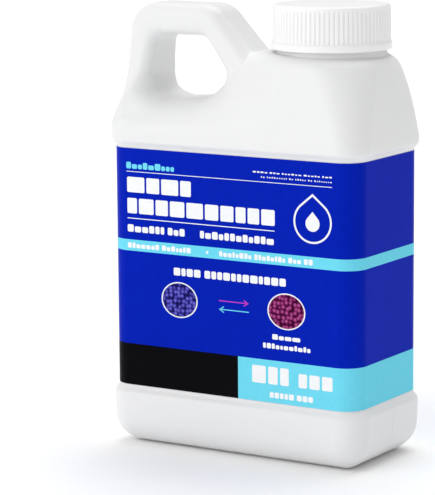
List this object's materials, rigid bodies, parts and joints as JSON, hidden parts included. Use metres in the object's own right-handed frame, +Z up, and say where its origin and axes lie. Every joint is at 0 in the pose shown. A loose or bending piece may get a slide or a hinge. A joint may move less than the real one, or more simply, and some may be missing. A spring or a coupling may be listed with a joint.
{
  "type": "desiccant bead jug",
  "caption": "Rectangular blow-moulded plastic jug with a moulded-in hollow handle, wide-mouth ribbed screw cap and wrap-around label, filled with drying beads.",
  "frame": {"origin": "middle of the base, on the standing plane", "axes": "+Z up along the jug; -Y out of the front face; +X towards the neck and cap, with the handle on the -X side"},
  "size_m": [0.212, 0.105, 0.325],
  "materials": {
    "jug_plastic": "satin",
    "cap_plastic": "satin",
    "liner_foam": "matt",
    "seal_foil": "satin",
    "label_film": "gloss",
    "beads": "gloss"
  },
  "bodies": {
    "jug_body": {"jug": "jug_plastic", "label": "label_film", "bead_bed": "beads", "top_beads": "beads"},
    "liner_body": {"cap_liner": "liner_foam", "seal_disc": "seal_foil"},
    "cap_body": {"cap": "cap_plastic"}
  },
  "joints": [
    {"name": "cap_lift", "type": "slide", "parent": "jug_body", "child": "liner_body", "axis": [0, 0, 1], "range_m": [0, 0.034]},
    {"name": "cap_turn", "type": "hinge", "parent": "liner_body", "child": "cap_body", "pos_m": [0.056, 0, 0.31], "axis": [0, 0, 1], "range_deg": [0, 2410]}
  ],
  "couplings": [
    {"joint": "cap_turn", "follows": "cap_lift", "rad_per_m": 1236.8}
  ]
}
